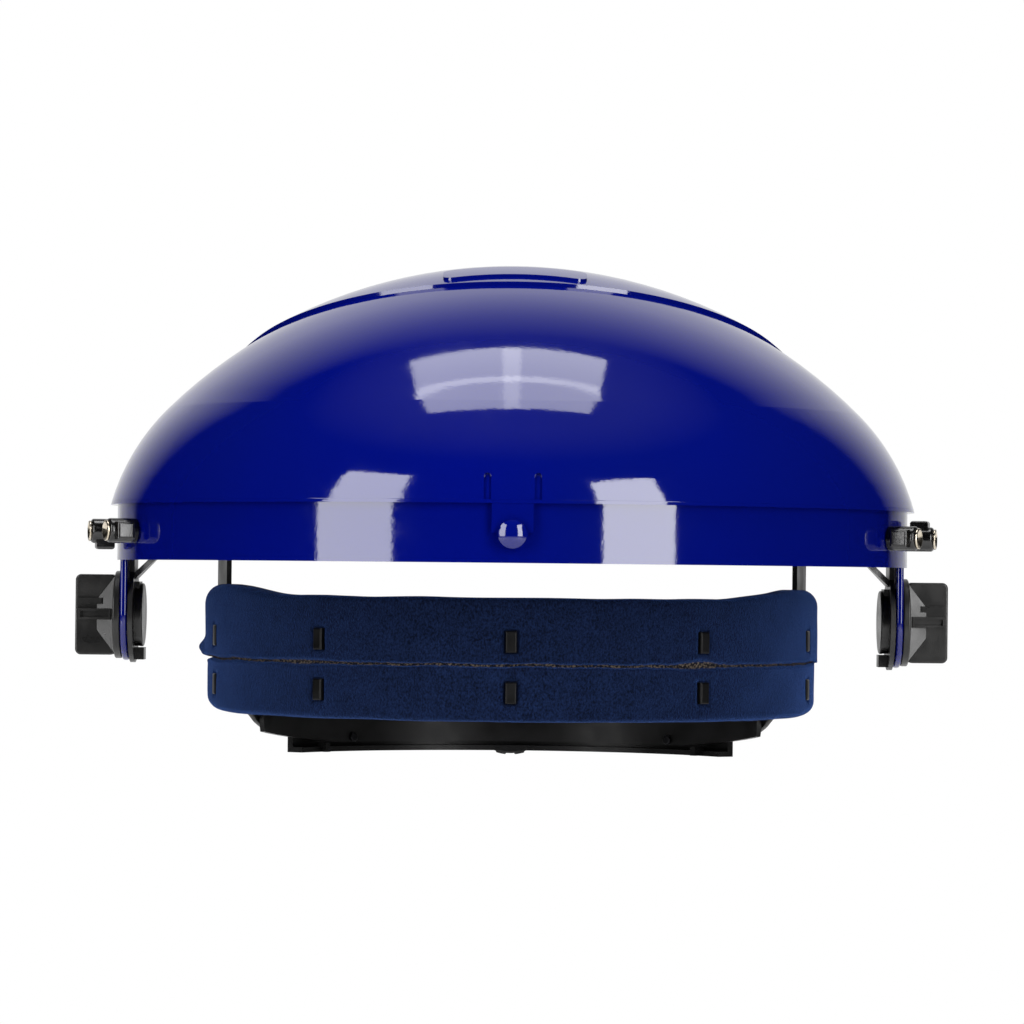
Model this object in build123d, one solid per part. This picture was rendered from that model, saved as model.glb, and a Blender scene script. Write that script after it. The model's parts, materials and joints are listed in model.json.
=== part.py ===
from build123d import *
import math
import os

# Dome headgear of a face shield. All lengths are in millimetres.
# Frame: origin at the centre of the head opening, +X to the viewer's right, +Z up,
# and the wearer looks along -Y. A side is -1 on the left of the frame and +1 on the right.

# Head ring: an ellipse in plan
BAND_HALF_WIDTH = 97.0
BAND_HALF_LENGTH = 108.0
BAND_WALL = 1.6
BAND_HEIGHT = 33.0
BAND_BACK_Y = 7.0
CLOTH_THICKNESS = 3.0
CLOTH_HEIGHT = 38.0
CLOTH_BACK_Y = 1.0
CLOTH_EDGE_RADIUS = 1.45
TAB_ANGLES = (-74.0, -37.0, 0.0, 37.0, 74.0)
TAB_ROWS_Z = (5.8, -10.0)
TAB_SIZE = (3.5, 6.7)
TAB_REACH = 3.9

# Crown strap: two halves, each in a vertical plane square to the band
STRAP_FOOT_Y = -22.0
STRAP_WIDTH = 24.0
STRAP_WALL = 1.6
STRAP_STRAIGHT_Z = 64.0
STRAP_RISE = 46.0
STRAP_LAP = 26.0
STRAP_LAP_GAP = 0.8
STRAP_FOOT_LOW_Z = -4.0
STRAP_PEG_R = 2.5
CROWN_PEG_R = 2.6
CROWN_HOLE_PITCH = 8.0

# Crown shell: a wide arc with a tighter shoulder, turned round in front of CROWN_Y and
# drawn straight back behind it
CROWN_Y = -22.0
DOME_TOP_Z = 126.2
DOME_RADIUS = 160.0
SHOULDER_RADIUS = 70.0
SHOULDER_ANGLE = 45.0
DOME_WALL = 2.5
FLANGE_RADIUS = 129.0
FLANGE_WALL = 2.2
FLANGE_LOW_Z = 30.0
RIM_Z = 49.0
FLANGE_BACK_Y = 3.0
LIP_RADIUS = 131.0
LIP_HEIGHT = 1.1
CROWN_LENGTH = 90.0
DOME_BACK_LOW = (3.0, 30.0)
DOME_BACK_HIGH = (26.0, 130.0)
PANEL_STEP = 1.2
PANEL_PLAN_RADIUS = 95.4
PANEL_PLAN_Y = 23.4
TOP_PLATE_WIDTH = 46.0
TOP_PLATE_FRONT_Y = -66.0
TOP_PLATE_BACK_Y = -52.0
TOP_PLATE_RISE = 0.9
STUD_TAB_WIDTH = 12.5
STUD_TAB_LOW_Z = 39.0
STUD_Z = 38.6
STUD_RADIUS = 4.3
STUD_LENGTH = 3.4
STUD_DOME = 1.4
STUD_COLLAR_RADIUS = 4.8
TAB_DEPTH = 3.5
RELIEF_X = 7.6
RELIEF_WIDTH = 2.2
RELIEF_HEIGHT = 8.0
RELIEF_DEPTH = 0.9

# Pivots
PIVOT_Y = -12.0
PIVOT_Z = 12.0
EAR_OUTER_X = 128.1
EAR_WALL = 2.3
EAR_RADIUS = 15.0
EAR_ROOT_Z = 33.0
BOLT_RADIUS = 3.0
RUNNING_CLEARANCE = 0.06
WASHER_RADIUS = 11.0
WASHER_WALL = 1.0
PLATE_OUTER_X = 125.5
PLATE_WALL = 1.5
PLATE_RADIUS = 15.7
PLATE_TOP_Z = 36.0
PLATE_NECK_WIDTH = 14.0
ARM_LOW_Z = 24.6
ARM_THICKNESS_Z = 2.3
ARM_HIGH_Z = 51.0
PAD_HEIGHT = 14.0
PAD_WIDTH = 14.0
RIVET_RADIUS = 2.0
HUB_RADIUS = 10.3
HUB_INNER_X = 122.4
HEAD_RADIUS = 10.4
HEAD_WALL = 1.2
RIVET_HEAD_RADIUS = 3.6
LUG_TOP_DROP = 10.7
LUG_LOW_DROP = 14.7
LUG_INNER_X = 120.9

# Pivot knobs
KNOB_INNER_X = 128.3
KNOB_BASE_RADIUS = 14.4
KNOB_BASE_WALL = 2.3
KNOB_OUTER_X = 143.6
KNOB_WING_HEIGHT = 26.5
KNOB_WING_WIDTH = 9.0
KNOB_CORNER = 1.9
KNOB_WEB_BASE = (26.0, 12.6)
KNOB_WEB_TIP = (10.0, 9.8)
KNOB_WEB_LENGTH = 5.8
KNOB_RIB_Z = (3.5, 5.5)
KNOB_RIB_LENGTH = 7.9
KNOB_FRAME_Z = (-1.6, 2.0)
KNOB_FRAME_REACH = 6.6
KNOB_FRAME_WALL = 0.8
INSERT_RADIUS = 4.0
INSERT_LENGTH = 8.0

# Visor latches
LATCH_ANGLES = (67.6, 78.0)
LATCH_Z = 39.2
LATCH_RADIUS = 3.9
LATCH_LENGTH = 9.2
LATCH_GAP = 0.3
LOBE_START = 2.1
LOBE_LENGTH = 5.8
LOBE_REACH = 5.9
LOBE_WIDTH = 5.6
EYELET_SHANK_R = 1.7
EYELET_BORE_R = 1.2
EYELET_FLANGE_R = 3.3
EYELET_FLANGE_WALL = 0.7

# Side straps: place along Y with the lower and upper edge there
SIDE_STRAP_STATIONS = (
    (BAND_BACK_Y + 0.2, -13.0, 12.0),
    (15.0, -15.5, 8.5),
    (23.0, -18.6, 2.0),
    (30.0, -21.8, -4.5),
    (36.0, -24.4, -8.6),
    (43.0, -26.6, -11.0),
    (50.0, -28.6, -12.2),
)
SIDE_STRAP_JOIN_Y = 36.0

# Rear assembly: arcs about one upright axis
REAR_CENTRE_Y = 17.0
NAPE_RADII = (86.2, 87.8)
NAPE_HALF_ANGLE = 77.0
NAPE_Z = (-32.7, -4.0)
NAPE_CORNER = 9.0
NAPE_RISE = ((78.5, -32.7), (30.0, -27.0))
COVER_RADII = (90.1, 92.3)
COVER_HALF_ANGLE = 57.0
COVER_Z = (-36.0, -6.0)
COVER_LIP = 1.8
END_RIB_ANGLE = 49.0
END_RIB_HEIGHT = 3.1
TAIL_RADII = ((88.0, 88.9), (89.0, 89.9))
TAIL_Z = (-29.2, -11.8)
TAIL_SPAN = (-56.0, 9.0)
TAIL_WINDOW_SPAN = (-18.6, 5.6)
DIAL_Z = -20.5
PINION_RADIUS = 4.5
PINION_TEETH = 8
TOOTH_HEIGHT = 0.8
TOOTH_ROOT = 0.9
TOOTH_WIDTH = 1.2
RACK_RADIUS = 88.95
DIAL_BOSS_RADIUS = 16.0
DIAL_BOSS_BACK_Y = 114.0
DIAL_SHAFT_RADIUS = 3.5
DIAL_RADIUS = 17.4
DIAL_Y = (114.3, 128.0)
DIAL_GRIPS = 16
CLICK_NOTCHES = 30
CLICK_RING_RADII = (12.2, 14.4)
SCREW_ANGLES = (-40.0, 40.0)
SCREW_ROWS_Z = (-31.0, -9.9)

SIDES = {"left": -1, "right": 1}
FAR = 400.0


def box_between(low, high):
    """Solid box from its lowest to its highest corner."""
    size = [high[i] - low[i] for i in range(3)]
    centre = [(high[i] + low[i]) / 2 for i in range(3)]
    return Pos(*centre) * Box(*size)


def x_cylinder(radius, x_start, x_end, y=PIVOT_Y, z=PIVOT_Z):
    """Round bar along X between two values of x."""
    length = abs(x_end - x_start)
    return Pos((x_start + x_end) / 2, y, z) * Rot(0, 90, 0) * Cylinder(radius, length)


def y_cylinder(radius, y_start, y_end, x=0.0, z=DIAL_Z):
    """Round bar along Y between two values of y."""
    length = abs(y_end - y_start)
    return Pos(x, (y_start + y_end) / 2, z) * Rot(90, 0, 0) * Cylinder(radius, length)


def ellipse_wall(outward, inward, low_z, high_z):
    """Upright elliptical wall, from the band's outer face plus outward to it minus inward."""
    outer = Ellipse(BAND_HALF_WIDTH + outward, BAND_HALF_LENGTH + outward)
    inner = Ellipse(BAND_HALF_WIDTH - inward, BAND_HALF_LENGTH - inward)
    return Pos(0, 0, low_z) * extrude(outer - inner, high_z - low_z)


def ring(outer_radius, inner_radius, low_z, high_z):
    """Upright round wall about the Z axis."""
    wall = Circle(outer_radius) - Circle(inner_radius)
    return Pos(0, 0, low_z) * extrude(wall, high_z - low_z)


def band_place(angle, z):
    """Place on the band's outer face, its local Z pointing squarely out of the band."""
    turn = math.radians(angle)
    x = BAND_HALF_WIDTH * math.sin(turn)
    y = -BAND_HALF_LENGTH * math.cos(turn)
    normal = (math.sin(turn) / BAND_HALF_WIDTH, -math.cos(turn) / BAND_HALF_LENGTH, 0)
    return Plane(origin=(x, y, z), x_dir=(0, 0, 1), z_dir=normal)


def hook_tabs():
    """Ten hook tabs that come out through the sweatband."""
    tabs = []
    for angle in TAB_ANGLES:
        for z in TAB_ROWS_Z:
            tab = Box(TAB_SIZE[1], TAB_SIZE[0], TAB_REACH + 0.5)
            tab = fillet(tab.faces().sort_by(Axis.Z)[-1].edges(), 0.5)
            tabs.append(band_place(angle, z) * Pos(0, 0, TAB_REACH / 2 - 0.25) * tab)
    return tabs


def strap_place(side):
    """Frame of one strap half: local +X points out along the strap's own plane."""
    foot_x = BAND_HALF_WIDTH * math.sqrt(1 - (STRAP_FOOT_Y / BAND_HALF_LENGTH) ** 2)
    slope = (STRAP_FOOT_Y / BAND_HALF_LENGTH**2) / (foot_x / BAND_HALF_WIDTH**2)
    yaw = math.degrees(math.atan(slope))
    reach = foot_x / math.cos(math.radians(yaw))
    hub_y = STRAP_FOOT_Y - foot_x * slope
    turn = yaw if side > 0 else 180 - yaw
    return Pos(0, hub_y, 0) * Rot(0, 0, turn), reach


def arch_face(reach, rise, low_z, far_side):
    """Region under an arch, from low_z up, that reaches far_side beyond the middle."""
    under = Rectangle(2 * reach, STRAP_STRAIGHT_Z - low_z)
    under = Pos(0, (STRAP_STRAIGHT_Z + low_z) / 2) * under
    top = Pos(0, STRAP_STRAIGHT_Z) * Ellipse(reach, rise)
    keep = Pos((FAR - far_side) / 2, 0) * Rectangle(FAR + far_side, 2 * FAR)
    return (under + top) & keep


def crown_strap(side):
    """One half of the crown strap, with its foot, its peg and, at the top, holes or a peg."""
    place, reach = strap_place(side)
    top_drop = 0.0 if side > 0 else STRAP_WALL + STRAP_LAP_GAP
    rise = STRAP_RISE - top_drop
    low_z = BAND_HEIGHT / 2 + 0.2
    outline = arch_face(reach, rise, low_z, STRAP_LAP)
    outline -= arch_face(reach - STRAP_WALL, rise - STRAP_WALL, low_z - 1, FAR)
    strap = extrude(Plane.XZ * outline, STRAP_WIDTH / 2, both=True)
    foot_x = reach - BAND_WALL - 1.0
    half = STRAP_WIDTH / 2
    strap += box_between((foot_x - STRAP_WALL, -half, STRAP_FOOT_LOW_Z), (foot_x, half, low_z + 5))
    strap += box_between((foot_x - STRAP_WALL, -half, low_z), (reach, half, low_z + 5))
    strap += x_cylinder(STRAP_PEG_R, foot_x - 0.5, reach - 0.2, 0, 5)
    strap -= x_cylinder(RIVET_RADIUS, reach - 4, reach + 1, 0, ARM_HIGH_Z + PAD_HEIGHT / 2)
    top_z = STRAP_STRAIGHT_Z + rise
    if side > 0:
        for step in (-2, -1, 0, 1, 2):
            hole = Cylinder(CROWN_PEG_R + 0.1, 4 * STRAP_WALL)
            strap -= Pos(step * CROWN_HOLE_PITCH, 0, top_z - 1) * hole
    else:
        peg_height = 2 * STRAP_WALL + 1.2
        strap += Pos(0, 0, top_z + peg_height / 2 - 1) * Cylinder(CROWN_PEG_R, peg_height)
    return place * strap


def front_band():
    """Front band with its hook tabs and the two holes for the strap feet."""
    half = BAND_HEIGHT / 2
    band = ellipse_wall(0, BAND_WALL, -half, half)
    band &= box_between((-FAR, -FAR, -FAR), (FAR, BAND_BACK_Y, FAR))
    for tab in hook_tabs():
        band += tab
    for side in SIDES.values():
        place, reach = strap_place(side)
        band -= place * x_cylinder(STRAP_PEG_R + 0.05, reach - 6, reach + 4, 0, 5)
    return band


def sweatband():
    """Cloth over foam, wrapped round the front band; plain closed solid."""
    half = CLOTH_HEIGHT / 2
    cloth = ellipse_wall(CLOTH_THICKNESS, BAND_WALL + CLOTH_THICKNESS, -half, half)
    cloth = fillet(cloth.edges(), CLOTH_EDGE_RADIUS)
    cloth &= box_between((-FAR, -FAR, -FAR), (FAR, CLOTH_BACK_Y, FAR))
    cloth -= ellipse_wall(0, BAND_WALL, -BAND_HEIGHT / 2, BAND_HEIGHT / 2)
    for tab in hook_tabs():
        cloth -= tab
    for side in SIDES.values():
        place, reach = strap_place(side)
        foot = (reach - 4.4, -STRAP_WIDTH / 2 - 0.1, STRAP_FOOT_LOW_Z - 0.1)
        cloth -= place * box_between(foot, (reach + 0.2, STRAP_WIDTH / 2 + 0.1, FAR))
    return cloth


def dome_profile(outward):
    """Half section of the crown to the right of its middle, grown by outward."""
    wide = DOME_RADIUS + outward
    tight = SHOULDER_RADIUS + outward
    wide_z = DOME_TOP_Z - DOME_RADIUS
    apart = DOME_RADIUS - SHOULDER_RADIUS
    meet = math.radians(SHOULDER_ANGLE)
    tight_x = apart * math.sin(meet)
    tight_z = wide_z + apart * math.cos(meet)
    half = meet / 2
    low = (meet + math.pi / 2) / 2
    top = (0, wide_z + wide)
    joined = (wide * math.sin(meet), wide_z + wide * math.cos(meet))
    end = (tight_x + tight, tight_z)
    upper_middle = (wide * math.sin(half), wide_z + wide * math.cos(half))
    lower_middle = (tight_x + tight * math.sin(low), tight_z + tight * math.cos(low))
    outline = ThreePointArc(top, upper_middle, joined) + ThreePointArc(joined, lower_middle, end)
    outline += Polyline(end, (0, tight_z), top)
    return make_face(Plane.XZ * outline)


def crown_block(outward):
    """Solid under the crown's outer surface, grown by outward."""
    section = dome_profile(outward)
    turned = revolve(section, Axis.Z, 360)
    turned &= box_between((-FAR, -FAR, -FAR), (FAR, 0, FAR))
    whole = section + mirror(section, about=Plane.YZ)
    drawn = extrude(whole, CROWN_LENGTH, dir=(0, 1, 0))
    return Pos(0, CROWN_Y, 0) * (turned + drawn)


def half_round_plan(radius, low_z, high_z, back_y):
    """Half a disc in front of CROWN_Y with straight sides back to back_y."""
    plan = Circle(radius) & Pos(0, -FAR / 2) * Rectangle(FAR, FAR)
    length = back_y - CROWN_Y
    plan += Pos(0, length / 2) * Rectangle(2 * radius, length)
    return Pos(0, CROWN_Y, low_z) * extrude(plan, high_z - low_z)


def behind_dome():
    """Everything behind the dome's sloping rear edge."""
    low_y, low_z = DOME_BACK_LOW
    high_y, high_z = DOME_BACK_HIGH
    outline = Polyline((low_y, low_z), (high_y, high_z), (FAR, high_z), (FAR, low_z), close=True)
    face = make_face(Plane.YZ * outline)
    return extrude(face, FAR, both=True)


def dome():
    """Curved top of the crown with its raised rear panel and top plate."""
    outer = crown_block(0)
    raised = crown_block(PANEL_STEP)
    post = Pos(0, PANEL_PLAN_Y, 0) * Cylinder(PANEL_PLAN_RADIUS, 2 * FAR)
    skin = outer + (raised & post)
    plate_length = TOP_PLATE_BACK_Y - TOP_PLATE_FRONT_Y
    plate_plan = RectangleRounded(TOP_PLATE_WIDTH, plate_length, 3.5)
    plate = Pos(0, (TOP_PLATE_BACK_Y + TOP_PLATE_FRONT_Y) / 2, RIM_Z) * extrude(plate_plan, FAR)
    skin += crown_block(PANEL_STEP + TOP_PLATE_RISE) & plate
    skin -= crown_block(-DOME_WALL)
    skin &= box_between((-FAR, -FAR, RIM_Z - LIP_HEIGHT), (FAR, FAR, FAR))
    return skin - behind_dome()


def ear(side):
    """Flat ear that hangs from the flange and turns on the pivot bolt."""
    inner_x = EAR_OUTER_X - EAR_WALL
    neck_high = (EAR_OUTER_X, PIVOT_Y + EAR_RADIUS, EAR_ROOT_Z)
    neck = box_between((inner_x, PIVOT_Y - EAR_RADIUS, PIVOT_Z), neck_high)
    plate = x_cylinder(EAR_RADIUS, inner_x, EAR_OUTER_X) + neck
    rim = [edge for edge in plate.edges() if edge.length > 2 * EAR_WALL]
    rim = [edge for edge in rim if edge.center().Z < EAR_ROOT_Z - 1]
    plate = fillet(rim, 0.9)
    plate -= x_cylinder(BOLT_RADIUS + RUNNING_CLEARANCE, inner_x - 1, EAR_OUTER_X + 1)
    plate -= x_cylinder(WASHER_RADIUS + 0.1, inner_x - 1, inner_x + WASHER_WALL - 0.2)
    return plate if side > 0 else mirror(plate, about=Plane.YZ)


def centre_tab():
    """Tab below the lip with the domed stud that the visor's middle hole goes over."""
    front_y = CROWN_Y - LIP_RADIUS
    half = STUD_TAB_WIDTH / 2
    back_y = front_y + TAB_DEPTH
    tab = box_between((-half, front_y, STUD_TAB_LOW_Z), (half, back_y, RIM_Z))
    tab += y_cylinder(STUD_COLLAR_RADIUS, front_y, back_y, 0, STUD_Z)
    stud = y_cylinder(STUD_RADIUS, front_y - STUD_LENGTH + STUD_DOME, back_y, 0, STUD_Z)
    dome_radius = (STUD_RADIUS**2 + STUD_DOME**2) / (2 * STUD_DOME)
    cap = Pos(0, front_y - STUD_LENGTH + dome_radius, STUD_Z) * Sphere(dome_radius)
    cap &= y_cylinder(STUD_RADIUS, front_y - FAR / 8, front_y - STUD_LENGTH + STUD_DOME, 0, STUD_Z)
    return tab + stud + cap


def relief_pockets():
    """Two shallow arch-topped pockets in the dome, just above the lip beside the tab."""
    pockets = None
    for side in SIDES.values():
        half = RELIEF_WIDTH / 2
        x = side * RELIEF_X
        low = (x - half, CROWN_Y - FAR, RIM_Z)
        high = (x + half, CROWN_Y, RIM_Z + RELIEF_HEIGHT - half)
        pocket = box_between(low, high)
        pocket += y_cylinder(half, CROWN_Y - FAR, CROWN_Y, x, RIM_Z + RELIEF_HEIGHT - half)
        pockets = pocket if pockets is None else pockets + pocket
    return pockets - crown_block(-RELIEF_DEPTH)


def latch_place(angle, side):
    """Frame on the flange's outer face, its local Z pointing straight out."""
    turn = math.radians(side * angle)
    normal = (math.sin(turn), -math.cos(turn), 0)
    x = FLANGE_RADIUS * normal[0]
    y = CROWN_Y + FLANGE_RADIUS * normal[1]
    return Plane(origin=(x, y, LATCH_Z), x_dir=(0, 0, 1), z_dir=normal)


def crown_shell():
    """Blue moulding: dome, lip, flange, ears, centre tab and latch holes."""
    shell = dome()
    wall = half_round_plan(FLANGE_RADIUS, FLANGE_LOW_Z, RIM_Z, FLANGE_BACK_Y)
    wall += half_round_plan(LIP_RADIUS, RIM_Z - LIP_HEIGHT, RIM_Z, FLANGE_BACK_Y)
    inside = FLANGE_RADIUS - FLANGE_WALL
    wall -= half_round_plan(inside, FLANGE_LOW_Z - 1, RIM_Z + 1, FLANGE_BACK_Y + 1)
    shell += wall
    for side in SIDES.values():
        shell += ear(side)
    shell += centre_tab()
    shell -= relief_pockets()
    for side in SIDES.values():
        for angle in LATCH_ANGLES:
            shell -= latch_place(angle, side) * Cylinder(EYELET_SHANK_R + 0.02, 12)
    return shell


def latch(angle, side, lobe_turn):
    """Quarter-turn latch: a short barrel with one lobe, bored for its eyelet."""
    barrel = Pos(0, 0, LATCH_GAP + LATCH_LENGTH / 2) * Cylinder(LATCH_RADIUS, LATCH_LENGTH)
    barrel = fillet(barrel.edges().sort_by(Axis.Z)[-1], 0.9)
    lobe_high = (0, LOBE_WIDTH / 2, LOBE_START + LOBE_LENGTH)
    lobe = box_between((-LOBE_REACH, -LOBE_WIDTH / 2, LOBE_START), lobe_high)
    lobe = fillet(lobe.faces().sort_by(Axis.X)[0].edges(), 0.9)
    body = barrel + Rot(0, 0, lobe_turn) * lobe
    bore = Cylinder(EYELET_SHANK_R + RUNNING_CLEARANCE, 3 * LATCH_LENGTH)
    body -= Pos(0, 0, LATCH_LENGTH / 2) * bore
    return latch_place(angle, side) * body


def eyelet(angle, side):
    """Hollow rivet that a latch turns on, flared at both ends."""
    inner_z = -FLANGE_WALL - 0.1
    outer_z = LATCH_GAP + LATCH_LENGTH + 0.1
    wall = EYELET_FLANGE_WALL
    body = Pos(0, 0, (inner_z + outer_z) / 2) * Cylinder(EYELET_SHANK_R, outer_z - inner_z + wall)
    outer_flange = Pos(0, 0, outer_z + wall / 2) * Cylinder(EYELET_FLANGE_R, wall)
    body += fillet(outer_flange.edges(), 0.3)
    body += Pos(0, 0, inner_z - wall / 2) * Cylinder(EYELET_FLANGE_R - 0.4, wall)
    body -= Cylinder(EYELET_BORE_R, 6 * LATCH_LENGTH)
    body -= Pos(0, 0, outer_z + wall - 0.5) * Cone(EYELET_BORE_R, EYELET_FLANGE_R - 0.5, 1.01)
    return latch_place(angle, side) * body


def side_bracket(side):
    """Round plate inside the ear, its neck, the arm to the crown strap and the stop lug."""
    inner_x = PLATE_OUTER_X - PLATE_WALL
    half_neck = PLATE_NECK_WIDTH / 2
    plate = x_cylinder(PLATE_RADIUS, inner_x, PLATE_OUTER_X)
    neck_low = (inner_x, PIVOT_Y - half_neck, PIVOT_Z)
    plate += box_between(neck_low, (PLATE_OUTER_X, PIVOT_Y + half_neck, PLATE_TOP_Z))
    plate -= x_cylinder(BOLT_RADIUS + 0.02, inner_x - 1, PLATE_OUTER_X + 1)
    lug_low = (LUG_INNER_X, PIVOT_Y - 4, PIVOT_Z - LUG_LOW_DROP)
    plate += box_between(lug_low, (inner_x + 0.1, PIVOT_Y + 4, PIVOT_Z - LUG_TOP_DROP))
    place, reach = strap_place(1)
    pad_low = (reach + 0.05, -PAD_WIDTH / 2, ARM_HIGH_Z)
    pad = box_between(pad_low, (reach + 0.05 + PLATE_WALL, PAD_WIDTH / 2, ARM_HIGH_Z + PAD_HEIGHT))
    pad -= x_cylinder(RIVET_RADIUS, reach - 1, reach + 4, 0, ARM_HIGH_Z + PAD_HEIGHT / 2)
    upright = Rot(0, 90, 0)
    start = Rectangle(ARM_THICKNESS_Z, PLATE_NECK_WIDTH)
    start = Pos(inner_x + 0.2, PIVOT_Y, ARM_LOW_Z) * upright * start
    end = Rectangle(ARM_THICKNESS_Z, PAD_WIDTH)
    end = place * Pos(reach + 0.7, 0, ARM_HIGH_Z + 1.2) * upright * end
    arm = loft([end, start])
    body = plate + arm + place * pad
    return body if side > 0 else mirror(body, about=Plane.YZ)


def bracket_rivet(side):
    """Rivet through the bracket's pad and the crown strap."""
    place, reach = strap_place(1)
    z = ARM_HIGH_Z + PAD_HEIGHT / 2
    inner_x = reach - STRAP_WALL
    outer_x = reach + 0.05 + PLATE_WALL
    rivet = x_cylinder(RIVET_RADIUS - 0.02, inner_x - 0.8, outer_x + 0.5, 0, z)
    head = x_cylinder(RIVET_HEAD_RADIUS, outer_x + 0.02, outer_x + 1.1, 0, z)
    rivet += fillet(head.edges().sort_by(Axis.X)[-1], 0.6)
    rivet += x_cylinder(RIVET_HEAD_RADIUS, inner_x - 0.9, inner_x - 0.6, 0, z)
    rivet = place * rivet
    return rivet if side > 0 else mirror(rivet, about=Plane.YZ)


def pivot_bolt(side):
    """Bolt with a wide flat head inboard; its thread ends inside the knob's insert."""
    head = x_cylinder(HEAD_RADIUS, HUB_INNER_X - HEAD_WALL, HUB_INNER_X)
    head = fillet(head.edges().sort_by(Axis.X)[0], 0.5)
    bolt = head + x_cylinder(BOLT_RADIUS, HUB_INNER_X - 0.5, KNOB_INNER_X + INSERT_LENGTH)
    return bolt if side > 0 else mirror(bolt, about=Plane.YZ)


def pivot_hub(side):
    """Spacer between the bolt's head and the bracket plate, with a squared top."""
    plate_inner_x = PLATE_OUTER_X - PLATE_WALL
    hub = x_cylinder(HUB_RADIUS, HUB_INNER_X, plate_inner_x)
    low = (HUB_INNER_X, PIVOT_Y - 5.5, PIVOT_Z)
    hub += box_between(low, (plate_inner_x, PIVOT_Y + 5.5, ARM_LOW_Z - ARM_THICKNESS_Z / 2 - 0.5))
    hub -= x_cylinder(BOLT_RADIUS + 0.02, HUB_INNER_X - 1, plate_inner_x + 1)
    return hub if side > 0 else mirror(hub, about=Plane.YZ)


def friction_washer(side):
    """Washer that sits in the ear's recess and rubs on the bracket plate."""
    start = PLATE_OUTER_X + 0.02
    washer = x_cylinder(WASHER_RADIUS, start, start + WASHER_WALL)
    washer -= x_cylinder(BOLT_RADIUS + RUNNING_CLEARANCE, start - 1, start + WASHER_WALL + 1)
    return washer if side > 0 else mirror(washer, about=Plane.YZ)


def pivot_knob(side):
    """Clamp knob: round base, tapered web, and a broad wing with a rib and a framed slot."""
    base_end = KNOB_INNER_X + KNOB_BASE_WALL
    base = x_cylinder(KNOB_BASE_RADIUS, KNOB_INNER_X, base_end)
    base = fillet(base.edges(), 0.5)
    half_width = KNOB_WING_WIDTH / 2
    half_height = KNOB_WING_HEIGHT / 2
    wing_low = (base_end - 0.5, PIVOT_Y - half_width, PIVOT_Z - half_height)
    wing = box_between(wing_low, (KNOB_OUTER_X, PIVOT_Y + half_width, PIVOT_Z + half_height))
    wing = fillet(wing.edges().filter_by(Axis.Y), KNOB_CORNER)
    broad_faces = wing.faces().sort_by(Axis.Y)
    wing = fillet(broad_faces[0].edges() + broad_faces[-1].edges(), 0.6)
    upright = Rot(0, 90, 0)
    web_base = Pos(base_end - 0.4, PIVOT_Y, PIVOT_Z) * upright * Rectangle(*KNOB_WEB_BASE)
    web_tip = Pos(base_end + KNOB_WEB_LENGTH, PIVOT_Y, PIVOT_Z) * upright * Rectangle(*KNOB_WEB_TIP)
    knob = base + wing + loft([web_base, web_tip])
    rib_low, rib_high = KNOB_RIB_Z
    rib_start = KNOB_OUTER_X - 1.0 - KNOB_RIB_LENGTH
    reach = half_width + 1.3
    rib_from = (rib_start, PIVOT_Y - reach, PIVOT_Z + rib_low)
    knob += box_between(rib_from, (KNOB_OUTER_X - 1.0, PIVOT_Y + reach, PIVOT_Z + rib_high))
    frame_low, frame_high = KNOB_FRAME_Z
    frame_start = base_end + 1.2
    frame_end = KNOB_OUTER_X - 1.0
    reach = KNOB_FRAME_REACH
    frame_from = (frame_start, PIVOT_Y - reach, PIVOT_Z + frame_low)
    knob += box_between(frame_from, (frame_end, PIVOT_Y + reach, PIVOT_Z + frame_high))
    wall = KNOB_FRAME_WALL
    for face in (-1, 1):
        y = PIVOT_Y + face * (reach + half_width + wall) / 2
        depth = (reach - half_width - wall) / 2 + 0.01
        slot_low = (frame_start + wall, y - depth, PIVOT_Z + frame_low + wall)
        knob -= box_between(slot_low, (frame_end - wall, y + depth, PIVOT_Z + frame_high - wall))
    insert_end = KNOB_INNER_X + INSERT_LENGTH + 0.6
    knob -= x_cylinder(INSERT_RADIUS, KNOB_INNER_X - 1, insert_end)
    return knob if side > 0 else mirror(knob, about=Plane.YZ)


def knob_insert(side):
    """Metal thread insert moulded into the knob."""
    start = KNOB_INNER_X + 0.3
    insert = x_cylinder(INSERT_RADIUS - 0.02, start, start + INSERT_LENGTH)
    insert -= x_cylinder(BOLT_RADIUS + RUNNING_CLEARANCE, start - 1, start + INSERT_LENGTH + 1)
    return insert if side > 0 else mirror(insert, about=Plane.YZ)


def sector(half_angle_low, half_angle_high):
    """Upright wedge about the rear axis; angles in degrees from straight back, + to the right."""
    low, high = math.radians(half_angle_low), math.radians(half_angle_high)
    points = [(0.0, 0.0)]
    steps = max(2, math.ceil((half_angle_high - half_angle_low) / 40.0))
    for index in range(steps + 1):
        turn = low + (high - low) * index / steps
        points.append((FAR * math.sin(turn), FAR * math.cos(turn)))
    face = make_face(Polyline(*points, close=True))
    return extrude(face, FAR, both=True)


def rear_place():
    """Frame whose Z axis is the upright axis of the rear arcs."""
    return Pos(0, REAR_CENTRE_Y, 0)


def radial_place(angle, radius, z):
    """Place on a rear arc, its local Z pointing straight out from the rear axis."""
    turn = math.radians(angle)
    normal = (math.sin(turn), math.cos(turn), 0)
    origin = (radius * normal[0], REAR_CENTRE_Y + radius * normal[1], z)
    return Plane(origin=origin, x_dir=(0, 0, 1), z_dir=normal)


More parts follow.
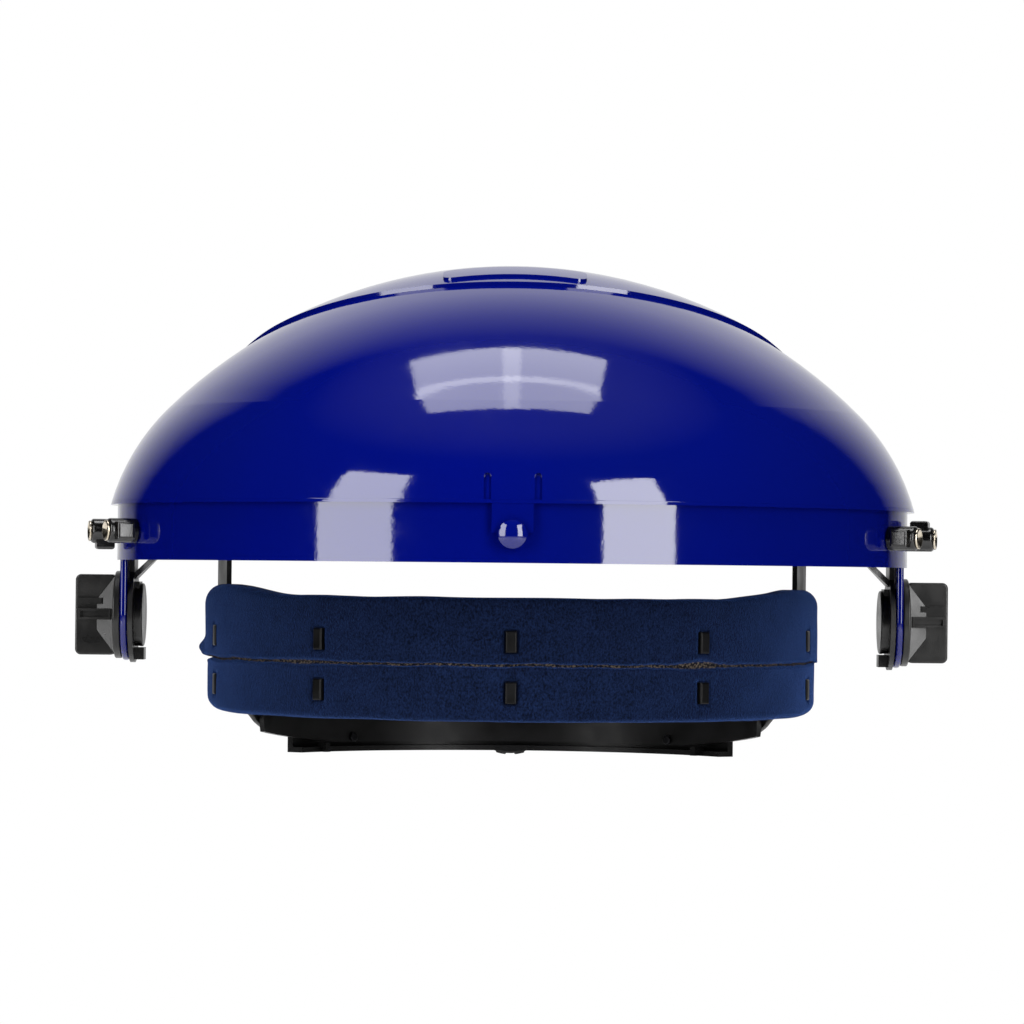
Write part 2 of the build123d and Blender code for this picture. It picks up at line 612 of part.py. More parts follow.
def nape_plate():
    """Inner wall of the rear assembly, wider than the cover; its lower edge rises to the ends."""
    inner, outer = NAPE_RADII
    plate = ring(outer, inner, *NAPE_Z) & sector(-NAPE_HALF_ANGLE, NAPE_HALF_ANGLE)
    uprights = [edge for edge in plate.edges() if abs(edge.center().Z - NAPE_Z[0]) < 0.01]
    uprights = [edge for edge in uprights if edge.length < 2 * (outer - inner)]
    plate = fillet(uprights, NAPE_CORNER)
    plate = rear_place() * plate
    outline = Polyline(*NAPE_RISE, (NAPE_RISE[1][0], -FAR), (NAPE_RISE[0][0], -FAR), close=True)
    plate -= extrude(make_face(Plane.YZ * outline), FAR, both=True)
    plate -= y_cylinder(2.5 + RUNNING_CLEARANCE, 90, 120)
    for angle in SCREW_ANGLES:
        for z in SCREW_ROWS_Z:
            plate -= radial_place(angle, inner, z) * Cylinder(1.1, 8)
    return plate


def rear_cover():
    """Outer wall of the rear assembly with lips, ledge, end ribs, dial boss and screw posts."""
    inner, outer = COVER_RADII
    low_z, high_z = COVER_Z
    lip_inner = NAPE_RADII[1] + 0.1
    cover = ring(outer, inner, low_z, high_z)
    cover += ring(outer, lip_inner, high_z - COVER_LIP, high_z)
    cover += ring(outer, NAPE_RADII[0], low_z, low_z + COVER_LIP)
    cover &= sector(-COVER_HALF_ANGLE, COVER_HALF_ANGLE)
    cover = rear_place() * cover
    for side in SIDES.values():
        rib = Box(END_RIB_HEIGHT, 2.4, 4.0)
        cover += radial_place(side * END_RIB_ANGLE, NAPE_RADII[0], low_z + END_RIB_HEIGHT / 2) * rib
    boss_front_y = REAR_CENTRE_Y + inner + 0.3
    cover += y_cylinder(DIAL_BOSS_RADIUS, boss_front_y, DIAL_BOSS_BACK_Y)
    cover -= y_cylinder(CLICK_RING_RADII[1] + 0.02, REAR_CENTRE_Y + outer + 0.2, DIAL_BOSS_BACK_Y + 1)
    cover -= y_cylinder(DIAL_SHAFT_RADIUS + RUNNING_CLEARANCE, 90, 120)
    for angle in SCREW_ANGLES:
        for z in SCREW_ROWS_Z:
            post_length = inner - lip_inner + 0.3
            post = Cylinder(1.7, post_length)
            cover += radial_place(angle, lip_inner + post_length / 2, z) * post
            cover -= radial_place(angle, lip_inner + 1.6, z) * Cylinder(1.0, 3.4)
    return cover


def housing_screws():
    """Four small screws that hold the nape plate to the cover."""
    screws = []
    for angle in SCREW_ANGLES:
        for z in SCREW_ROWS_Z:
            screw = Pos(0, 0, 0.8) * Cylinder(0.98, 4.6)
            head = Pos(0, 0, -2.0) * Cylinder(1.6, 1.2)
            head = fillet(head.edges().sort_by(Axis.Z)[0], 0.4)
            screws.append(radial_place(angle, NAPE_RADII[0] + 1.3, z) * (screw + head))
    return Compound(children=screws)


def rack_tail(side):
    """Toothed end of a side strap: a curved strip with a window, teeth on one edge of it."""
    inner, outer = TAIL_RADII[0] if side < 0 else TAIL_RADII[1]
    toothed = 1 if side < 0 else -1
    tail = ring(outer, inner, *TAIL_Z) & sector(*TAIL_SPAN)
    pitch_z = DIAL_Z + toothed * PINION_RADIUS
    edge_z = pitch_z + toothed * TOOTH_ROOT
    clear_z = DIAL_Z - toothed * (PINION_RADIUS + TOOTH_HEIGHT + 0.5)
    window = ring(outer + 1, inner - 1, min(edge_z, clear_z), max(edge_z, clear_z))
    tail -= window & sector(*TAIL_WINDOW_SPAN)
    pitch = 2 * math.pi * PINION_RADIUS / PINION_TEETH
    height = TOOTH_ROOT + TOOTH_HEIGHT
    root_half, tip_half = TOOTH_WIDTH * 0.8, TOOTH_WIDTH * 0.3
    corners = [(-root_half, 0), (-tip_half, -height), (tip_half, -height), (root_half, 0)]
    profile = Polyline(*corners, close=True)
    first = math.ceil(math.radians(TAIL_WINDOW_SPAN[0]) * RACK_RADIUS / pitch)
    last = math.floor(math.radians(TAIL_WINDOW_SPAN[1]) * RACK_RADIUS / pitch)
    for index in range(first, last + 1):
        angle = (index + 0.5) * pitch / RACK_RADIUS
        if math.degrees(angle) > TAIL_WINDOW_SPAN[1]:
            continue
        normal = (math.sin(angle), math.cos(angle), 0)
        origin = (inner * normal[0], inner * normal[1], edge_z + toothed * 0.05)
        along = (toothed * math.cos(angle), -toothed * math.sin(angle), 0)
        out = normal if toothed > 0 else tuple(-value for value in normal)
        frame = Plane(origin=origin, x_dir=along, z_dir=(-out[0], -out[1], 0))
        tooth = extrude(make_face(profile), toothed * -(outer - inner))
        tail += frame * tooth
    tail = rear_place() * tail
    return tail if side < 0 else mirror(tail, about=Plane.YZ)


def pinion():
    """Small gear on the dial's shaft, between the two racks."""
    root = PINION_RADIUS - TOOTH_ROOT
    front_y = REAR_CENTRE_Y + TAIL_RADII[0][0] - 0.05
    back_y = REAR_CENTRE_Y + TAIL_RADII[1][1] + 0.05
    gear = y_cylinder(root, front_y, back_y)
    height = TOOTH_ROOT + TOOTH_HEIGHT
    root_half, tip_half = TOOTH_WIDTH * 0.65, TOOTH_WIDTH * 0.3
    corners = [(-root_half, -0.4), (-tip_half, height), (tip_half, height), (root_half, -0.4)]
    profile = Polyline(*corners, close=True)
    face = make_face(Plane.XZ * Pos(0, root) * profile)
    tooth = extrude(face, back_y - front_y, dir=(0, 1, 0))
    tooth = Pos(0, front_y, 0) * tooth
    for index in range(PINION_TEETH):
        gear += Pos(0, 0, DIAL_Z) * Rot(0, index * 360 / PINION_TEETH, 0) * tooth
    gear += y_cylinder(2.5, NAPE_RADII[0] + REAR_CENTRE_Y + 0.3, front_y + 0.5)
    gear += y_cylinder(DIAL_SHAFT_RADIUS, back_y - 0.5, DIAL_BOSS_BACK_Y + 3)
    gear -= y_cylinder(1.2, DIAL_BOSS_BACK_Y - 4, DIAL_BOSS_BACK_Y + 5)
    return gear


def click_ring():
    """Ring with small notches inside it, pressed into the cover's boss."""
    inner, outer = CLICK_RING_RADII
    front_y = REAR_CENTRE_Y + COVER_RADII[1] + 0.25
    back_y = DIAL_BOSS_BACK_Y - 0.2
    body = y_cylinder(outer, front_y, back_y) - y_cylinder(inner, front_y - 1, back_y + 1)
    for index in range(CLICK_NOTCHES):
        turn = 2 * math.pi * index / CLICK_NOTCHES
        x, z = inner * math.sin(turn), DIAL_Z + inner * math.cos(turn)
        body -= y_cylinder(0.7, front_y - 1, back_y + 1, x, z)
    return body


def click_spring():
    """Bent spring arm pair that clicks over the ring's notches."""
    y_low = REAR_CENTRE_Y + COVER_RADII[1] + 0.6
    y_high = DIAL_BOSS_BACK_Y - 0.6
    tip = CLICK_RING_RADII[0] - 0.15
    hub = y_cylinder(DIAL_SHAFT_RADIUS + 1.6, y_low, y_high)
    arms = box_between((-tip + 0.4, y_low, DIAL_Z - 1.0), (tip - 0.4, y_high, DIAL_Z + 1.0))
    tips = y_cylinder(0.9, y_low, y_high, tip - 0.9) + y_cylinder(0.9, y_low, y_high, 0.9 - tip)
    return hub + arms + tips - y_cylinder(DIAL_SHAFT_RADIUS + 0.02, y_low - 1, y_high + 1)


def ratchet_knob():
    """Dial at the back that sizes the headband, with finger grooves round its rim."""
    low_y, high_y = DIAL_Y
    dial = y_cylinder(DIAL_RADIUS, low_y, high_y)
    dial = fillet(dial.edges().sort_by(Axis.Y)[-1], 2.0)
    for index in range(DIAL_GRIPS):
        turn = 2 * math.pi * index / DIAL_GRIPS
        x = (DIAL_RADIUS + 1.2) * math.sin(turn)
        z = DIAL_Z + (DIAL_RADIUS + 1.2) * math.cos(turn)
        dial -= y_cylinder(2.2, low_y - 1, high_y - 2.0, x, z)
    dial -= y_cylinder(DIAL_RADIUS - 4.0, low_y - 1, high_y - 5.0) - y_cylinder(6.5, low_y - 2, high_y)
    dial -= y_cylinder(DIAL_SHAFT_RADIUS + 0.02, low_y - 1, DIAL_BOSS_BACK_Y + 3.0)
    dial -= y_cylinder(3.2, high_y - 3.0, high_y + 1)
    dial -= y_cylinder(1.25, low_y, high_y)
    return dial


def knob_screw():
    """Screw that holds the dial to the pinion's shaft."""
    head_y = DIAL_Y[1] - 3.0
    screw = y_cylinder(1.18, DIAL_BOSS_BACK_Y - 3, head_y + 0.5)
    head = y_cylinder(2.9, head_y, head_y + 1.8)
    head = fillet(head.edges().sort_by(Axis.Y)[-1], 0.5)
    screw += head
    screw -= box_between((-2.0, head_y + 1.0, DIAL_Z - 0.35), (2.0, head_y + 3, DIAL_Z + 0.35))
    screw -= box_between((-0.35, head_y + 1.0, DIAL_Z - 2.0), (0.35, head_y + 3, DIAL_Z + 2.0))
    return screw


def side_strap(side):
    """Flexible strap from the front band's end back into the rear assembly."""
    stations = []
    for y, low_z, high_z in SIDE_STRAP_STATIONS:
        inner_band = BAND_HALF_WIDTH - BAND_WALL
        on_band = inner_band * math.sqrt(1 - (y / (BAND_HALF_LENGTH - BAND_WALL)) ** 2)
        on_rear = math.sqrt((TAIL_RADII[0][0] + 0.3) ** 2 - (y - REAR_CENTRE_Y) ** 2)
        share = min(1.0, max(0.0, (y - BAND_BACK_Y) / (SIDE_STRAP_JOIN_Y - BAND_BACK_Y)))
        share = share * share * (3 - 2 * share)
        x = on_band * (1 - share) + on_rear * share
        centre = (x + BAND_WALL / 2, y, (low_z + high_z) / 2)
        plane = Plane(origin=centre, x_dir=(1, 0, 0), z_dir=(0, -1, 0))
        stations.append(plane * Rectangle(BAND_WALL, high_z - low_z))
    strap = loft(stations)
    return strap if side > 0 else mirror(strap, about=Plane.YZ)


def build_all():
    """Every node's solid by name."""
    nodes = {"crown_shell": crown_shell(), "front_band": front_band()}
    for name, side in SIDES.items():
        nodes["crown_strap_" + name] = crown_strap(side)
        nodes["side_bracket_" + name] = side_bracket(side)
        nodes["pivot_bolt_" + name] = pivot_bolt(side)
        nodes["pivot_hub_" + name] = pivot_hub(side)
        nodes["friction_washer_" + name] = friction_washer(side)
        nodes["pivot_knob_" + name] = pivot_knob(side)
        nodes["knob_insert_" + name] = knob_insert(side)
        nodes["side_strap_" + name] = side_strap(side)
        nodes["rack_tail_" + name] = rack_tail(side)
    nodes["sweatband"] = sweatband()
    nodes["bracket_rivets"] = Compound(children=[bracket_rivet(side) for side in SIDES.values()])
    lobe_turns = {"left_front": 90, "left_rear": 0, "right_front": -90, "right_rear": 180}
    eyelets = []
    for name, side in SIDES.items():
        for place, angle in zip(("front", "rear"), LATCH_ANGLES):
            latch_name = name + "_" + place
            nodes["visor_latch_" + latch_name] = latch(angle, side, lobe_turns[latch_name])
            eyelets.append(eyelet(angle, side))
    nodes["latch_eyelets"] = Compound(children=eyelets)
    nodes["nape_plate"] = nape_plate()
    nodes["rear_cover"] = rear_cover()
    nodes["housing_screws"] = housing_screws()
    nodes["dial_pinion"] = pinion()
    nodes["click_ring"] = click_ring()
    nodes["click_spring"] = click_spring()
    nodes["ratchet_knob"] = ratchet_knob()
    nodes["knob_screw"] = knob_screw()
    return nodes


os.makedirs("parts", exist_ok=True)
for node_name, solid in build_all().items():
    export_step(solid, "parts/" + node_name + ".step")
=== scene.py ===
# %% [markdown]
# # Face shield headgear
# This notebook dresses a imported CAD model: a blue dome on two side pivots, over a black
# headband with a navy sweatband. The CAD holds every place and size; the sweatband reads its
# height from the frame, and the other steps give their places as numbers. Lengths are in metres.

# %% Load the frame
import json
import math

import bpy
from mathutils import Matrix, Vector, noise


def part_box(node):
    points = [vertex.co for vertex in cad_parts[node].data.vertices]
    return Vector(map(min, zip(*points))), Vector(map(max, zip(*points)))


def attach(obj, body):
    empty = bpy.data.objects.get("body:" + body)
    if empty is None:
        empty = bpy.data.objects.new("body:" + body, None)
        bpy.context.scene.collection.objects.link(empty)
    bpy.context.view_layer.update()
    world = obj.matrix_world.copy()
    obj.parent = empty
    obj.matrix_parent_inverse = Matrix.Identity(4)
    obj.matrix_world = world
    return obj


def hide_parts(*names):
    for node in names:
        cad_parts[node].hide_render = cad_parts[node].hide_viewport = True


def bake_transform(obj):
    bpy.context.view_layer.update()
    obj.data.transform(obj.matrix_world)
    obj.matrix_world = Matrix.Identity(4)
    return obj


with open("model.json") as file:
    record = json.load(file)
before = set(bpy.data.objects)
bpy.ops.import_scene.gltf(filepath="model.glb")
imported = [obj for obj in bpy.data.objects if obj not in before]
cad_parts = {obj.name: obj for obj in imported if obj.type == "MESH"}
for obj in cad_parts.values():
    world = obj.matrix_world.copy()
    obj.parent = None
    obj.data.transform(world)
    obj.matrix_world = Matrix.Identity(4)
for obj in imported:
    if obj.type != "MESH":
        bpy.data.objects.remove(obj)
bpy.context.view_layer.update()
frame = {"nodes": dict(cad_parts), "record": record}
MM = 0.001

# %% [markdown]
# ## Colours and nodes
# Colours are written as they look on a screen (sRGB hex) and turned to linear light once,
# here. One small function adds a node with its settings and links, so that every material
# reads as a short list.


# %% Helpers for materials
def linear(hex_colour):
    """Linear RGBA of an sRGB hex colour."""
    channels = [int(hex_colour[start:start + 2], 16) / 255 for start in (1, 3, 5)]
    return [c / 12.92 if c <= 0.04045 else ((c + 0.055) / 1.055) ** 2.4 for c in channels] + [1.0]


def add_node(tree, kind, inputs=(), **settings):
    """Adds a node. An input is a plain value, or the output socket that feeds it."""
    made = tree.nodes.new(kind)
    for name, value in settings.items():
        setattr(made, name, value)
    for socket, value in dict(inputs).items():
        if isinstance(value, bpy.types.NodeSocket):
            tree.links.new(value, made.inputs[socket])
        else:
            made.inputs[socket].default_value = value
    return made


def start_material(name, **shader_inputs):
    """A material with a Principled shader, and its object coordinates."""
    material = bpy.data.materials.new(name)
    material.use_nodes = True
    tree = material.node_tree
    tree.nodes.clear()
    sockets = {key.replace("_", " "): value for key, value in shader_inputs.items()}
    shader = add_node(tree, "ShaderNodeBsdfPrincipled", sockets)
    add_node(tree, "ShaderNodeOutputMaterial", {"Surface": shader.outputs["BSDF"]})
    place = add_node(tree, "ShaderNodeTexCoord").outputs["Object"]
    return material, tree, shader, place


def ramp(tree, factor, low, high, low_at=0.0, high_at=1.0):
    """Colour ramp between two values or colours."""
    made = add_node(tree, "ShaderNodeValToRGB", {"Fac": factor})
    for element, colour, at in zip(made.color_ramp.elements, (low, high), (low_at, high_at)):
        element.color = colour if isinstance(colour, list) else [colour] * 3 + [1.0]
        element.position = at
    return made.outputs["Color"]


# %% [markdown]
# ## Camera
# The headgear is seen from straight in front with a long lens, from a little above the
# brow. A long lens keeps the far side of the band nearly as large as the near side.

# %% Camera
CAMERA_PLACE = (0.0, -1.4865, 0.0266)
CAMERA_LENS = 157.0
CAMERA_PITCH = 0.8
CAMERA_ROLL = -0.6

camera_data = bpy.data.cameras.new("camera")
camera_data.lens = CAMERA_LENS
camera_data.sensor_width = 36.0
camera = bpy.data.objects.new("camera", camera_data)
camera.location = CAMERA_PLACE
camera.rotation_euler = (math.radians(90 + CAMERA_PITCH), math.radians(CAMERA_ROLL), 0)
bpy.context.scene.collection.objects.link(camera)
bpy.context.scene.camera = camera
bpy.context.scene.view_settings.view_transform = "Standard"
print("camera", CAMERA_PLACE)

# %% [markdown]
# ## Light
# The dome is glossy, so what it mirrors is most of what the eye sees: a large softbox
# overhead, a tall one at each side, and pale surroundings behind. The softboxes are area
# lights, because those show in reflections as the bright panels that they are. In front
# the room is dark, which keeps the blue deep.

# %% Softboxes


def softbox(name, place, size, aim, brightness):
    """Rectangular area light that faces aim; brightness is its radiance."""
    light = bpy.data.lights.new(name, "AREA")
    light.shape = "RECTANGLE"
    light.size, light.size_y = size
    light.energy = brightness * math.pi * size[0] * size[1]
    made = bpy.data.objects.new(name, light)
    made.location = place
    direction = Vector(aim) - Vector(place)
    made.rotation_euler = direction.to_track_quat("-Z", "Y").to_euler()
    bpy.context.scene.collection.objects.link(made)
    return made


def standing_panel(name, azimuth, half_width, elevations, brightness):
    """Upright softbox that fills a span of directions as seen from the headgear, in degrees."""
    low, high = (PANEL_DISTANCE * math.tan(math.radians(angle)) for angle in elevations)
    turn = math.radians(azimuth)
    middle = (low + high) / 2
    place = (PANEL_DISTANCE * math.sin(turn), -PANEL_DISTANCE * math.cos(turn), middle)
    width = 2 * PANEL_DISTANCE * math.tan(math.radians(half_width))
    return softbox(name, place, (width, high - low), (0, 0, middle), brightness)


PANEL_DISTANCE = 1.8
# Panels: azimuth, half width, span of elevations, brightness
standing_panel("left_panel", -43.5, 11.0, (-7, 42), 8.5)
standing_panel("right_panel", 34.5, 10.2, (-7, 40), 11.0)
# Overhead boxes: place, size, aim, brightness
softbox("overhead", (-0.021, 0.069, 1.30), (0.67, 0.59), (-0.021, 0.069, 0.0), 4.6)
softbox("overhead_bar", (-0.021, 0.075, 1.29), (0.65, 0.045), (-0.021, 0.075, 0.0), 2.8)
softbox("overhead_spine", (-0.008, 0.069, 1.285), (0.06, 0.57), (-0.008, 0.069, 0.0), 1.8)
# A wide fill lights the blue from above; it is kept out of the mirror reflections.
fill = softbox("overhead_fill", (0.0, -0.1, 1.4), (1.3, 1.3), (0.0, 0.0, 0.0), 3.6)
fill.visible_glossy = False

# %% [markdown]
# ## World and floor
# Behind the headgear a pale backdrop leans forward as it rises, and the ceiling is a dim
# grey, so that the dome's edges pale while its face stays deep. The camera itself sees
# plain white. The floor could be a large lit plane, but a disc with a faint glow further
# out stays evenly pale with fewer lights.

# %% World and floor
world = bpy.data.worlds.new("studio")
world.use_nodes = True
bpy.context.scene.world = world
sky = world.node_tree
sky.nodes.clear()
direction = add_node(sky, "ShaderNodeTexCoord").outputs["Generated"]
split = add_node(sky, "ShaderNodeSeparateXYZ", {"Vector": direction})
leaning = add_node(
    sky, "ShaderNodeMath", {0: split.outputs["Z"], 1: 0.35, 2: split.outputs["Y"]}, operation="MULTIPLY_ADD")
backdrop = ramp(sky, leaning.outputs["Value"], 0.003, 0.85, 0.76, 1.0)
ceiling = ramp(sky, split.outputs["Z"], 0.0, 0.14, 0.80, 0.95)
surroundings = add_node(
    sky, "ShaderNodeMix", {"Factor": 1.0, "A": backdrop, "B": ceiling},
    data_type="RGBA", blend_type="ADD")
seen = add_node(sky, "ShaderNodeLightPath").outputs["Is Camera Ray"]
shown = add_node(
    sky, "ShaderNodeMix", {"Factor": seen, "A": surroundings.outputs["Result"], "B": [1.0] * 4},
    data_type="RGBA")
lit = add_node(sky, "ShaderNodeBackground", {"Color": shown.outputs["Result"]})
add_node(sky, "ShaderNodeOutputWorld", {"Surface": lit.outputs["Background"]})

FLOOR_Z = -0.40
bpy.ops.object.select_all(action="DESELECT")
bpy.ops.mesh.primitive_circle_add(vertices=96, radius=2.4, fill_type="NGON", location=(0, 0, FLOOR_Z))
floor = bpy.context.object
floor.name = "floor"
# The softboxes light only its middle, so it glows a little further out and stays pale.
floor_finish, floor_tree, floor_shader, floor_place = start_material(
    "pale_floor", Base_Color=linear("#f2f2f2"), Roughness=0.8, Emission_Color=[1.0] * 4)
from_middle = add_node(floor_tree, "ShaderNodeVectorMath", {0: floor_place}, operation="LENGTH")
half_radius = add_node(
    floor_tree, "ShaderNodeMath", {0: from_middle.outputs["Value"], 1: 0.5}, operation="MULTIPLY")
glow = ramp(floor_tree, half_radius.outputs["Value"], 0.0, 0.62, 0.30, 0.80)
floor_tree.links.new(glow, floor_shader.inputs["Emission Strength"])
floor.data.materials.append(floor_finish)
print("lights and floor made")

# %% [markdown]
# ## Sweatband
# The real one is a strip of brushed navy cloth on thin foam. It is folded round the front
# band like a sleeve, and its two long edges meet in front in an open seam, where the dark
# foam shows. Ten hook tabs of the band poke through slots in it, and the crown strap's feet
# lift its top edge at the sides. It could be a padded box with a painted line, but then the
# seam, the slots and the rounded ends would not catch the light. So it starts as the flat
# strip that it really is, and every point is folded round the band.

# %% Sweatband: places
BAND_HALF_WIDTH = 97.0 * MM
BAND_HALF_LENGTH = 108.0 * MM
PAD_END_ANGLE = 90.4
PAD_COLUMNS = 470
PAD_LOW, PAD_HIGH = (corner[2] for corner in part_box("sweatband"))
SEAM_Z = -1.5 * MM
TAB_ANGLES = (-74.0, -37.0, 0.0, 37.0, 74.0)
TAB_ROWS_Z = (5.8 * MM, -10.0 * MM)
TAB_HALF_WIDTH, TAB_HALF_HEIGHT = 1.75 * MM, 3.35 * MM
PAD_OUTER, PAD_INNER = 3.0 * MM, -4.6 * MM
SIDE_BULGE = 1.5 * MM
STRAP_RISE = 3.1 * MM
END_DROP = 2.2 * MM
SLOT_DEPTH = 0.9 * MM
CORNER_Z, CORNER_SPREAD, CORNER_REACH = 1.6 * MM, 2.4 * MM, 2.9 * MM
STRAP_ANGLE = 78.2
STRAP_RISE_ANGLE = 42.0
# The fold's pieces in order from the seam, up, over, down the inside and back: rows in each
FOLD_ROWS = (("outer_up", 26), ("outer_top", 7), ("top", 2), ("inner_top", 4), ("inner", 14),
             ("inner_low", 4), ("low", 2), ("outer_low", 7), ("outer_down", 26))


def smooth(value, low, high):
    """Smooth step from 0 at low to 1 at high."""
    share = min(1.0, max(0.0, (value - low) / (high - low)))
    return share * share * (3 - 2 * share)


def fold_steps():
    """Name and share of every row of the fold; rows crowd together towards the seam."""
    steps = []
    for name, rows in FOLD_ROWS:
        for row in range(rows):
            share = row / rows
            if name == "outer_up":
                share = share ** 1.9
            elif name == "outer_down":
                share = 1 - (1 - share) ** 1.9
            steps.append((name, share))
    return steps


def section(angle):
    """Outer and inner reach, top and foot, and corner radii of the pad at one angle."""
    side = smooth(abs(angle), 62.0, 88.0)
    over_strap = smooth(abs(angle), STRAP_RISE_ANGLE, STRAP_ANGLE - 7.0)
    behind = smooth(abs(angle), 84.0, PAD_END_ANGLE)
    wave = 0.35 * MM * noise.noise(Vector((angle * 0.09, 3.0, 0.0)))
    return {
        "outer": PAD_OUTER + SIDE_BULGE * side,
        "inner": PAD_INNER,
        "high": PAD_HIGH + 0.4 * MM + STRAP_RISE * over_strap - END_DROP * behind + wave,
        "low": PAD_LOW + 0.9 * MM * side - 0.5 * wave,
        "top_corner": 1.8 * MM + 4.0 * MM * side,
        "low_corner": 1.9 * MM + 1.9 * MM * side,
        "back_corner": 1.3 * MM,
    }


def fold_point(name, share, form):
    """Reach out of the band and height of one point of the fold."""
    outer, inner, high, low = form["outer"], form["inner"], form["high"], form["low"]
    top, foot, back = form["top_corner"], form["low_corner"], form["back_corner"]
    quarter = share * math.pi / 2
    across, along = math.cos(quarter), math.sin(quarter)
    if name == "outer_up":
        return outer, SEAM_Z + share * (high - top - SEAM_Z)
    if name == "outer_top":
        return outer - top + top * across, high - top + top * along
    if name == "top":
        return outer - top + share * (inner + back - outer + top), high
    if name == "inner_top":
        return inner + back - back * along, high - back + back * across
    if name == "inner":
        return inner, high - back + share * (low + 2 * back - high)
    if name == "inner_low":
        return inner + back - back * across, low + back - back * along
    if name == "low":
        return inner + back + share * (outer - foot - inner - back), low
    if name == "outer_low":
        return outer - foot + foot * along, low + foot - foot * across
    return outer, low + foot + share * (SEAM_Z - low - foot)


def seam_shape(angle, height):
    """How far the seam's two edges part at this angle, and the seam's own height."""
    gape = 0.58 * MM + 0.25 * MM * noise.noise(Vector((angle * 0.35, 0.0, 7.0)))
    gape += 0.22 * MM * noise.noise(Vector((angle * 1.4, 0.0, 11.0)))
    gape += 0.35 * MM * math.exp(-((angle + 41.0) / 5.0) ** 2)
    gape += 0.85 * MM * math.exp(-((angle - 36.0) / 4.5) ** 2)
    gape *= 1 - smooth(angle, 78.0, 84.0)
    centre = SEAM_Z + 0.5 * MM * noise.noise(Vector((angle * 0.12, 5.0, 0.0)))
    return gape, (height - centre) / gape if gape > 0.02 * MM else 99.0


def pad_point(angle, name, share):
    """Place of one point of the sweatband, with how much it is seam, and how much slot and painted slot
    shade.
    """
    form = section(angle)
    reach, height = fold_point(name, share, form)
    seam = slot_and_painted_shade = 0.0
    if name.startswith("outer"):
        span = smooth(height, form["low"], form["low"] + 6 * MM)
        span *= 1 - smooth(height, form["high"] - 6 * MM, form["high"])
        reach += 0.35 * MM * span * noise.noise(Vector((angle * 0.10, height * 90, 1.0)))
        if height < SEAM_Z:
            reach -= 1.0 * MM * smooth(abs(angle), 70.0, 88.0)
        gape, apart = seam_shape(angle, height)
        seam = math.exp(-apart * apart)
        reach -= min(1.7 * MM, 1.1 * MM + gape) * seam
        lip = math.exp(-((abs(apart) - 1.9) / 0.9) ** 2)
        reach += 0.22 * MM * lip
        # The slot share dents the cloth round each tab, and also marks where shade is painted there.
        for tab_angle in TAB_ANGLES:
            for tab_z in TAB_ROWS_Z:
                off_x = math.radians(angle - tab_angle) * 100 * MM
                off_z = height - tab_z
                beyond = max(abs(off_x) - TAB_HALF_WIDTH, (abs(off_z) - TAB_HALF_HEIGHT))
                slot_and_painted_shade = max(slot_and_painted_shade, 1 - smooth(beyond, 0.1 * MM, 1.1 * MM))
        reach -= SLOT_DEPTH * slot_and_painted_shade
        if height >= SEAM_Z and angle < 0:
            corner = smooth(-angle, 84.0, PAD_END_ANGLE)
            corner *= math.exp(-((height - CORNER_Z) / CORNER_SPREAD) ** 2)
            reach += CORNER_REACH * corner
    turn = math.radians(angle)
    normal = Vector((math.sin(turn) / BAND_HALF_WIDTH, -math.cos(turn) / BAND_HALF_LENGTH, 0))
    normal.normalize()
    rounding = smooth(abs(angle), PAD_END_ANGLE - 2.0, PAD_END_ANGLE)
    middle = (form["outer"] + form["inner"]) / 2
    reach = reach + (middle - reach) * 0.22 * rounding
    foot = Vector((BAND_HALF_WIDTH * math.sin(turn), -BAND_HALF_LENGTH * math.cos(turn), height))
    return foot + normal * reach, seam, slot_and_painted_shade


# %% Sweatband: fold the flat strip
def bare_mesh(name):
    """Takes the object that an operator has just made, and names it."""
    made = bpy.context.object
    made.name = made.data.name = name
    return made


FOLD_STEPS = fold_steps()
bpy.ops.object.select_all(action="DESELECT")
bpy.ops.mesh.primitive_grid_add(x_subdivisions=PAD_COLUMNS, y_subdivisions=len(FOLD_STEPS), size=1.0)
sweatband = bare_mesh("sweatband_cloth")
seam_values, slot_and_painted_shade_values = [], []
for vertex in sweatband.data.vertices:
    angle = 2 * PAD_END_ANGLE * vertex.co.x
    row = round((vertex.co.y + 0.5) * len(FOLD_STEPS)) % len(FOLD_STEPS)
    vertex.co, seam, slot_and_painted_shade = pad_point(angle, *FOLD_STEPS[row])
    seam_values.append(seam)
    slot_and_painted_shade_values.append(slot_and_painted_shade)
# The slot attribute also marks where painted shade darkens the cloth round the tabs.
for attribute_name, values in (("seam", seam_values), ("slot_and_painted_shade", slot_and_painted_shade_values)):
    attribute = sweatband.data.attributes.new(attribute_name, "FLOAT", "POINT")
    attribute.data.foreach_set("value", values)
bpy.ops.object.mode_set(mode="EDIT")
bpy.ops.mesh.select_all(action="SELECT")
bpy.ops.mesh.remove_doubles(threshold=0.00001)
bpy.ops.mesh.select_all(action="DESELECT")
bpy.ops.mesh.select_non_manifold()
bpy.ops.mesh.fill_holes(sides=0)
bpy.ops.mesh.select_all(action="SELECT")
bpy.ops.mesh.normals_make_consistent(inside=False)
bpy.ops.object.mode_set(mode="OBJECT")
bpy.ops.object.shade_smooth()
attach(sweatband, "headband")
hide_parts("sweatband")
print("sweatband", len(sweatband.data.polygons), "faces")

# %% [markdown]
# ## Side straps
# Each is a thin moulded strap that runs from inside the front band down into the rear
# housing, and bends as the housing slides forward. A rigid strap would leave a gap there,
# so this one's shape is blended from the band's curve to the housing's arc, as they stand.

# %% Side straps
STRAP_WALL = 1.6 * MM
# Place along Y, lower edge and upper edge, in mm
STRAP_STATIONS = ((7.2, -13.0, 12.0), (15.0, -15.5, 8.5), (23.0, -18.6, 2.0), (30.0, -21.8, -4.5),
                  (36.0, -24.4, -8.6), (43.0, -26.6, -11.0), (50.0, -28.6, -12.2))
STRAP_FRONT_HALF_WIDTH, STRAP_FRONT_HALF_LENGTH = 95.4, 106.4
STRAP_BACK_X = 88.3
REAR_CENTRE_Y = 17.0


